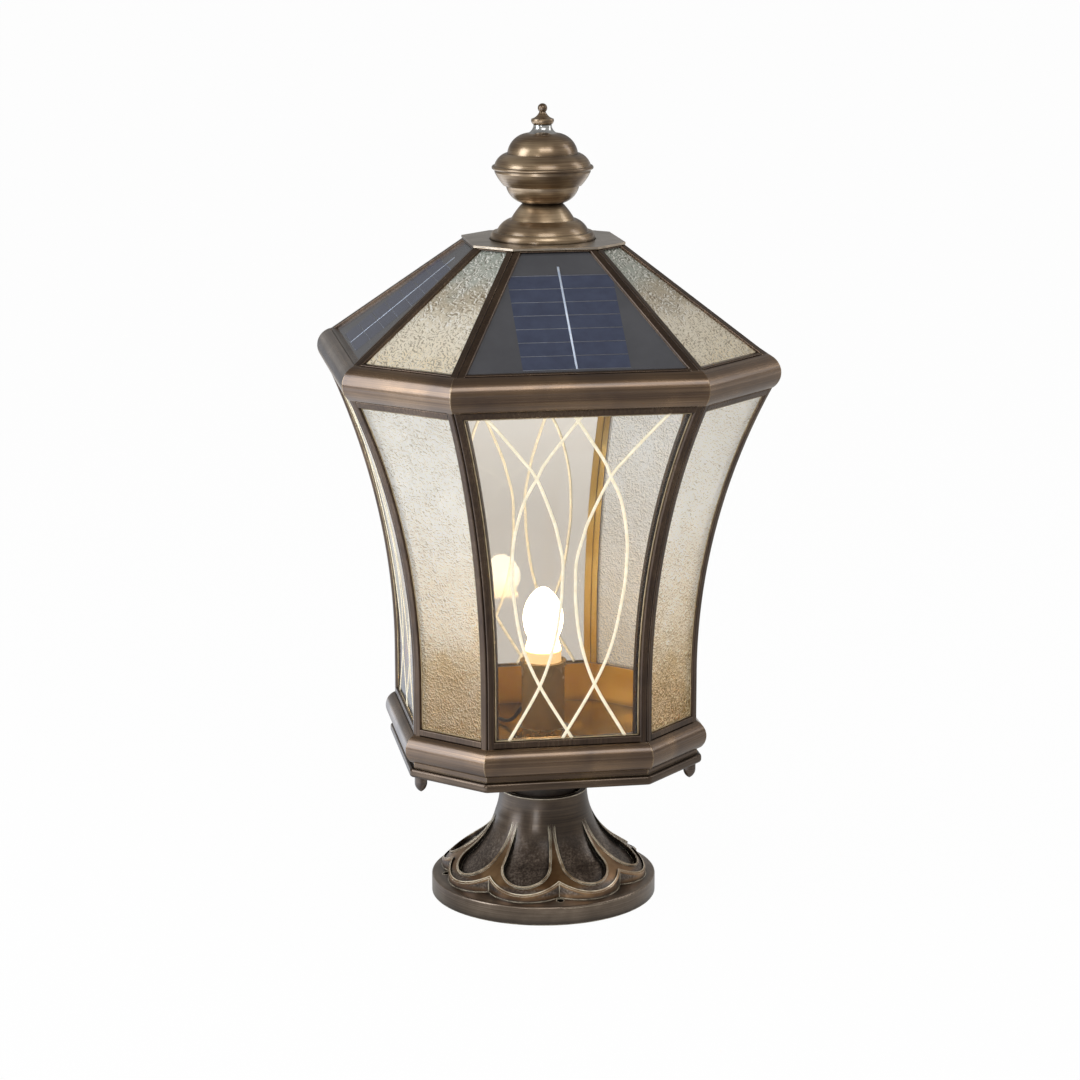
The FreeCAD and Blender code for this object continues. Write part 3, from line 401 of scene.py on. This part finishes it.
looks = {
    "moulding": aged_brass("moulding_brass", BROWN, RUBBED, (10.0, 10.0, 1500.0), edge=0.0013,
                           bulb_lit_tones=GOLD),
    "came": aged_brass("came_brass", DARK, RUBBED_CAME, (900.0, 900.0, 10.0), wear=0.55, lacquer=0.25,
                       bulb_lit_tones=PALE_GOLD, alone=True),
    "sheet": aged_brass("sheet_brass", SHEET, RUBBED, (40.0, 40.0, 900.0), wear=0.4, lacquer=0.3,
                        bulb_lit_tones=OLD_GOLD, inner_metal=0.5),
    "plate": aged_brass("plate_brass", PLATE, RUBBED, (30.0, 300.0, 300.0)),
    "finial": aged_brass("finial_brass", BRONZE, RUBBED_FINIAL, (24.0, 24.0, 1400.0), 0.35, 0.6, 0.5,
                         streaks=0.3),
    # The foot's lighter tones are a painted highlight
    "foot": aged_brass("foot_brass", FOOT, RUBBED_FINIAL, (24.0, 24.0, 1400.0), 0.35, 0.6, 0.5,
                       streaks=0.3),
    "nut": aged_brass("nut_brass", DARK, RUBBED_NUT, (24.0, 24.0, 900.0), 0.34, 0.5),
    "pedestal": cast_bronze("cast_bronze"),
    "steel": plain_metal("bright_steel", srgb(168, 164, 156), srgb(214, 210, 202), 0.26),
    "chrome": plain_metal("bright_collar", srgb(206, 206, 204), srgb(236, 236, 233), 0.12),
    "holder": plain_metal("holder_brass", srgb(136, 112, 62), srgb(170, 142, 86), 0.24, 0.35, 25.0),
    "sleeve": soft_solid("sleeve_paint", srgb(46, 37, 30), srgb(66, 54, 43), 0.5),
    "can": soft_solid("can_paint", srgb(58, 54, 50), srgb(84, 78, 72), 0.45),
    "cell": soft_solid("cell_wrap", srgb(28, 70, 62), srgb(44, 96, 84), 0.35),
    "board": soft_solid("board_resin", srgb(20, 74, 40), srgb(34, 98, 56), 0.5),
    "lead": soft_solid("lead_sheath", srgb(26, 24, 22), srgb(44, 40, 36), 0.6),
    "clear": clear_glass("clear_glass"),
    # The body glass has a painted glow of 0.17; the roof glass has none
    "body_water": water_glass("body_water_glass", BODY_STOPS, 0.14, 0.377, 330.0, (0.1, -0.08, 0.2),
                              0.8, 0.17, 5.4),
    "roof_water": water_glass("roof_water_glass", ROOF_STOPS, 0.404, 0.471, 215.0, (0.2, 0.0, 0.0),
                              0.3, 0.0, 3.8),
    "bulb": bulb_glass("bulb_glass"),
    "solar": solar_glass("solar_laminate"),
}


def look_of(name):
    """Which look a CAD node takes, by the start of its name."""
    rules = (
        ("pedestal", "pedestal"), ("stem_sleeve", "sleeve"), ("stem_", "steel"), ("cage_studs", "steel"),
        ("finial_rod", "steel"), ("rod_nuts", "steel"), ("finial_collar", "chrome"),
        ("finial_foot", "foot"), ("finial_", "finial"), ("thumb_nut", "nut"), ("sill_", "moulding"),
        ("cornice_", "moulding"), ("tray", "sheet"), ("top_plate", "plate"), ("lamp_holder", "holder"),
        ("bulb", "bulb"), ("battery_can", "can"), ("battery_cells", "cell"), ("control_board", "board"),
        ("panel_leads", "lead"), ("lamp_lead", "lead"), ("solar_panel", "solar"),
        ("roof_pane", "roof_water"), ("body_frame", "came"), ("roof_frame", "came"),
    )
    for start, look in rules:
        if name.startswith(start):
            return look
    return "clear" if name.removeprefix("body_pane_") in WIDE else "body_water"


for name, obj in nodes.items():
    material = looks[look_of(name)]
    obj.data.materials.clear()
    obj.data.materials.append(material)


# Detail pieces laid on the glass

def narrow_side(flat, half):
    """Distance and half width of a narrow side, from those of a wide one."""
    return (flat + half) / math.sqrt(2), (flat - half) / math.sqrt(2)


class BodySide:
    """Outer face of one side of the body: upright at the foot, then curving out to the head."""

    def __init__(self, wide):
        foot = BODY_FOOT[:2] if wide else narrow_side(*BODY_FOOT[:2])
        head = BODY_HEAD[:2] if wide else narrow_side(*BODY_HEAD[:2])
        self.foot, self.foot_half = foot
        self.spread = (head[1] - foot[1]) / (head[0] - foot[0])
        run = head[0] - foot[0]
        rise = BODY_HEAD[2] - BODY_BEND
        self.radius = (run ** 2 + rise ** 2) / (2 * run)
        self.low, self.high = BODY_FOOT[2], BODY_HEAD[2]

    def out_at(self, z, depth):
        lift = max(z - BODY_BEND, 0.0)
        return self.foot + self.radius - math.sqrt((self.radius + depth) ** 2 - lift ** 2)

    def half_at(self, z, depth, inset):
        return self.foot_half + (self.out_at(z, depth) - self.foot) * self.spread - inset

    def point(self, s, z, depth):
        return Vector((self.out_at(z, depth), s, z))

    def normal(self, z):
        step = 0.0005
        slope = (self.out_at(z + step, 0.0) - self.out_at(z - step, 0.0)) / (2 * step)
        return Vector((1.0, 0.0, -slope)).normalized()


class RoofSide:
    """Outer face of a wide side of the roof, leaning in as it rises."""

    def __init__(self):
        self.foot, self.low = ROOF_FOOT
        self.lean = (ROOF_FOOT[0] - ROOF_HEAD[0]) / (ROOF_HEAD[1] - ROOF_FOOT[1])

    def point(self, s, z, depth):
        out = self.foot - (z - self.low) * self.lean - depth * math.hypot(1, self.lean)
        return Vector((out, s, z))

    def normal(self, z):
        return Vector((1.0, 0.0, self.lean)).normalized()


def smooth_line(points, steps=8):
    """Catmull-Rom curve through the points."""
    ends = [points[0] * 2 - points[1]] + points + [points[-1] * 2 - points[-2]]
    found = []
    for a, b, c, d in zip(ends, ends[1:], ends[2:], ends[3:]):
        for i in range(steps):
            t = i / steps
            found.append(0.5 * (2 * b + (c - a) * t + (2 * a - 5 * b + 4 * c - d) * t * t
                                + (3 * b - a - 3 * c + d) * t ** 3))
    return found + [points[-1]]


def add_strip(mesh_data, side, line, depth, width, height):
    """Adds a low rounded strip along (s, z) points of a side, standing on the surface at that depth."""
    vertices, faces = mesh_data
    section = ((-0.5, 0.0), (-0.3, 0.8), (0.0, 1.0), (0.3, 0.8), (0.5, 0.0))
    places = [side.point(s, z, depth) for s, z in line]
    first = len(vertices)
    for i, place in enumerate(places):
        ahead = places[min(i + 1, len(places) - 1)] - places[max(i - 1, 0)]
        normal = side.normal(line[i][1])
        across = ahead.cross(normal).normalized()
        for u, v in section:
            vertices.append(place + across * (u * width) + normal * (v * height))
    count = len(section)
    for i in range(len(places) - 1):
        a = first + i * count
        b = a + count
        for j in range(count - 1):
            faces.append((a + j, a + j + 1, b + j + 1, b + j))
        faces.append((a + count - 1, a, b, b + count - 1))
    faces.append(tuple(range(first + count - 1, first - 1, -1)))
    last = first + (len(places) - 1) * count
    faces.append(tuple(range(last, last + count)))


def make_piece(name, mesh_data, turn, material):
    """Mesh object turned into its place about the axis, riding on the lamp."""
    vertices, faces = mesh_data
    mesh = bpy.data.meshes.new(name)
    spin = Matrix.Rotation(math.radians(turn), 4, "Z")
    mesh.from_pydata([spin @ v for v in vertices], [], faces)
    mesh.materials.append(material)
    mesh.update()
    mesh.shade_smooth()
    obj = bpy.data.objects.new(name, mesh)
    bpy.context.scene.collection.objects.link(obj)
    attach(obj, "lamp")


engraved = engraving("engraved_line", srgb(204, 194, 168), srgb(224, 215, 192))
glass_edge = soft_solid("glass_edge", srgb(150, 130, 98), srgb(198, 178, 142), 0.4, 150.0)
cell_blue = soft_solid("solar_cell", srgb(59, 64, 82), srgb(67, 73, 92), 0.16, 90.0)
cell_silver = soft_solid("cell_busbar", srgb(190, 204, 226), srgb(226, 234, 246), 0.35, 200.0)
cell_finger = soft_solid("cell_finger", srgb(96, 101, 116), srgb(128, 133, 148), 0.35, 200.0)

# Lattice of the wide panes, half of it, as (distance from the middle, height); the other half mirrors it
OUTER_ARC = [(-0.003, 0.3755), (0.0015, 0.369), (0.0195, 0.342), (0.0245, 0.331), (0.0332, 0.312),
             (0.0386, 0.286), (0.0392, 0.262), (0.0374, 0.242), (0.031, 0.209), (0.019, 0.18),
             (-0.0035, 0.142)]
INNER_ARC = [(0.0625, 0.3755), (0.057, 0.37), (0.0355, 0.344), (0.0247, 0.329), (0.0125, 0.3),
             (0.0084, 0.286), (0.0047, 0.269), (0.0046, 0.253), (0.0052, 0.238), (0.009, 0.211),
             (0.019, 0.18), (0.0405, 0.142)]
# Width and height of the strips
LINE = (0.0022, 0.0004)
EDGING = (0.0009, 0.0005)
FINGER = (0.0004, 0.00012)
BUSBAR = (0.0016, 0.0002)

body_wide = BodySide(True)
body_narrow = BodySide(False)
roof_wide = RoofSide()

for place, turn in WIDE.items():
    lattice = ([], [])
    for arc in (OUTER_ARC, INNER_ARC):
        for hand in (1, -1):
            line = smooth_line([Vector((hand * s, z)) for s, z in arc])
            add_strip(lattice, body_wide, line, GLASS_SET, *LINE)
    make_piece(f"pane_lines_{place}", lattice, turn, engraved)

# Pale edge of each body pane, close to its frame
EDGING_INSET = CAME + 0.0004
EDGING_STEPS = 24
for side, places, slot in ((body_wide, WIDE, "clear_glass"), (body_narrow, NARROW, "textured_glass")):
    low = side.low + EDGING_INSET
    high = side.high - EDGING_INSET
    heights = [low + (high - low) * i / EDGING_STEPS for i in range(EDGING_STEPS + 1)]
    for place, turn in places.items():
        edging = ([], [])
        for hand in (1, -1):
            upright = [(hand * side.half_at(z, GLASS_SET, EDGING_INSET), z) for z in heights]
            add_strip(edging, side, upright, GLASS_SET, *EDGING)
        for z in (low, high):
            half = side.half_at(z, GLASS_SET, EDGING_INSET)
            add_strip(edging, side, [(-half, z), (half, z)], GLASS_SET, *EDGING)
        make_piece(f"pane_edge_{place}", edging, turn, glass_edge)

# Solar cells under the panel's glass, with one busbar and thin fingers across
CELL_HALF = 0.036
CELL_LOW = 0.405
CELL_HIGH = 0.4575
CELL_ROWS = 7
CELL_GAP = 0.0003
CELL_LIFT = 0.00006
BUSBAR_TAIL = 0.005
rows = [CELL_LOW + (CELL_HIGH - CELL_LOW) * i / CELL_ROWS for i in range(CELL_ROWS + 1)]
for place, turn in WIDE.items():
    cells = ([], [])
    lines = ([], [])
    bar = ([], [])
    for low, high in zip(rows, rows[1:]):
        low += CELL_GAP
        high -= CELL_GAP
        first = len(cells[0])
        for s, z in ((-CELL_HALF, low), (CELL_HALF, low), (CELL_HALF, high), (-CELL_HALF, high)):
            cells[0].append(roof_wide.point(s, z, GLASS_SET - CELL_LIFT))
        cells[1].append(tuple(range(first, first + 4)))
    for z in rows:
        add_strip(lines, roof_wide, [(-CELL_HALF, z), (CELL_HALF, z)], GLASS_SET, *FINGER)
    add_strip(bar, roof_wide, [(0.0, CELL_LOW), (0.0, CELL_HIGH + BUSBAR_TAIL)], GLASS_SET, *BUSBAR)
    make_piece(f"solar_cells_{place}", cells, turn, cell_blue)
    make_piece(f"solar_fingers_{place}", lines, turn, cell_finger)
    make_piece(f"solar_busbar_{place}", bar, turn, cell_silver)


# Floor, light and camera

COOL = (0.91, 0.97, 1.06)
WARM = (1.0, 0.98, 0.95)
MIDDLE = (0.0, 0.0, 0.28)


def pale_floor():
    """White paper: nearly white to the camera with a faint shadow; in reflections, cards on a dim floor."""
    g = Graph("floor")
    diffuse = g.node("ShaderNodeBsdfDiffuse", {"Color": (0.95, 0.95, 0.95, 1.0)}).outputs[0]
    paper = g.node("ShaderNodeEmission", {"Color": (1, 1, 1, 1), "Strength": 1.0}).outputs[0]
    x, y, _ = g.parts(g.coords)
    brightest = 3.0

    def along(place, first, last, levels, hue):
        """Light level by place along the floor, between the given places."""
        stops = [((at - first) / (last - first), [level / brightest * part for part in hue] + [1.0])
                 for at, level in levels]
        return g.ramp(g.remap_straight(place, first, last), stops)

    left = along(x, -2.4, 0.0, ((-2.4, 0.85), (-1.7, 1.1), (-1.15, 2.5), (-0.8, 1.3), (-0.4, 1.6),
                                (-0.05, 0.3)), COOL)
    left = g.shaded(left, g.remap(y, 0.8, 1.6, 1.0, 0.2))
    deep = along(y, -1.2, 2.4, ((-1.2, 0.28), (-0.6, 0.3), (-0.25, 0.6), (0.2, 0.42), (1.0, 1.0),
                                (1.5, 1.0), (2.1, 0.25)), WARM)
    cards = g.node("ShaderNodeEmission", {
        "Color": g.blend(1.0, left, deep, "LIGHTEN"), "Strength": brightest}).outputs[0]
    path = g.node("ShaderNodeLightPath").outputs
    seen = g.math("MAXIMUM", path["Is Camera Ray"], path["Is Transmission Ray"])
    lit = g.mix(seen, diffuse, g.mix(0.975, diffuse, paper))
    return g.show(g.mix(path["Is Glossy Ray"], lit, cards))


floor_mesh = bpy.data.meshes.new("floor")
reach = 30.0
floor_corners = [(-reach, -reach, 0), (reach, -reach, 0), (reach, reach, 0), (-reach, reach, 0)]
floor_mesh.from_pydata(floor_corners, [], [(0, 1, 2, 3)])
floor_mesh.materials.append(pale_floor())
floor = bpy.data.objects.new("floor", floor_mesh)
bpy.context.scene.collection.objects.link(floor)


def studio_world():
    """White to the camera and through glass; in reflections, a bright horizon under a grey sky."""
    g = Graph("studio", "worlds", "ShaderNodeOutputWorld", "Generated")
    _, back, up = g.parts(g.coords)
    levels = ((0.0, 0.75), (0.06, 0.6), (0.14, 0.3), (0.55, 0.44), (0.85, 0.3), (1.0, 0.25))
    sky = g.ramp(up, [(place, (level, level * 0.985, level * 0.965, 1)) for place, level in levels])
    away = g.remap_straight(back, -0.1, 0.5, 1.0, 0.75)
    grey = g.node("ShaderNodeBackground", {"Color": sky, "Strength": away}).outputs[0]
    white = g.node("ShaderNodeBackground", {"Color": (1, 1, 1, 1), "Strength": 1.0}).outputs[0]
    path = g.node("ShaderNodeLightPath").outputs
    seen = g.math("MAXIMUM", path["Is Camera Ray"], path["Is Transmission Ray"])
    return g.show(g.mix(seen, grey, white))


def soft_box(name, place, width, height, power, mirrored=True, hue=(1.0, 1.0, 1.0)):
    """Area light aimed at the lamp's middle; it doesn't show itself, but in reflections if mirrored."""
    data = bpy.data.lights.new(name, "AREA")
    data.shape = "RECTANGLE"
    data.size = width
    data.size_y = height
    data.energy = power
    data.color = hue
    obj = bpy.data.objects.new(name, data)
    obj.visible_glossy = mirrored
    obj.visible_camera = False
    obj.visible_transmission = False
    obj.location = place
    obj.rotation_euler = (Vector(MIDDLE) - Vector(place)).to_track_quat("-Z", "Y").to_euler()
    bpy.context.scene.collection.objects.link(obj)


bpy.context.scene.world = studio_world()
soft_box("left_box", (-1.66, -0.33, 0.92), 0.8, 1.4, 13.5, hue=COOL)
soft_box("right_box", (1.7, 0.1, 1.2), 0.5, 1.2, 3.6)
soft_box("front_box", (0.1, -1.85, 2.1), 1.6, 0.8, 12.0)
soft_box("low_box", (-1.0, -1.9, 0.5), 0.35, 0.7, 5.0)
soft_box("fill_box", (-0.5, -1.7, 2.3), 1.6, 1.0, 12.0, mirrored=False)

camera_data = bpy.data.cameras.new("camera")
camera_data.sensor_width = 36.0
camera_data.lens = 99.72
camera_data.clip_end = 100.0
camera = bpy.data.objects.new("camera", camera_data)
azimuth = math.radians(-9.604)
distance = 2.0688
height = 0.7358
camera.location = (math.sin(azimuth) * distance, -math.cos(azimuth) * distance, height)
pitch = math.radians(12.966)
heading = azimuth + math.radians(0.059)
roll = Matrix.Rotation(math.radians(-0.08), 3, "Z")
level_run = math.cos(pitch)
forward = Vector((-math.sin(heading) * level_run, math.cos(heading) * level_run, -math.sin(pitch)))
camera.rotation_euler = (forward.to_track_quat("-Z", "Y").to_matrix() @ roll).to_euler()
bpy.context.scene.collection.objects.link(camera)
bpy.context.scene.camera = camera
bpy.context.scene.view_settings.view_transform = "Standard"
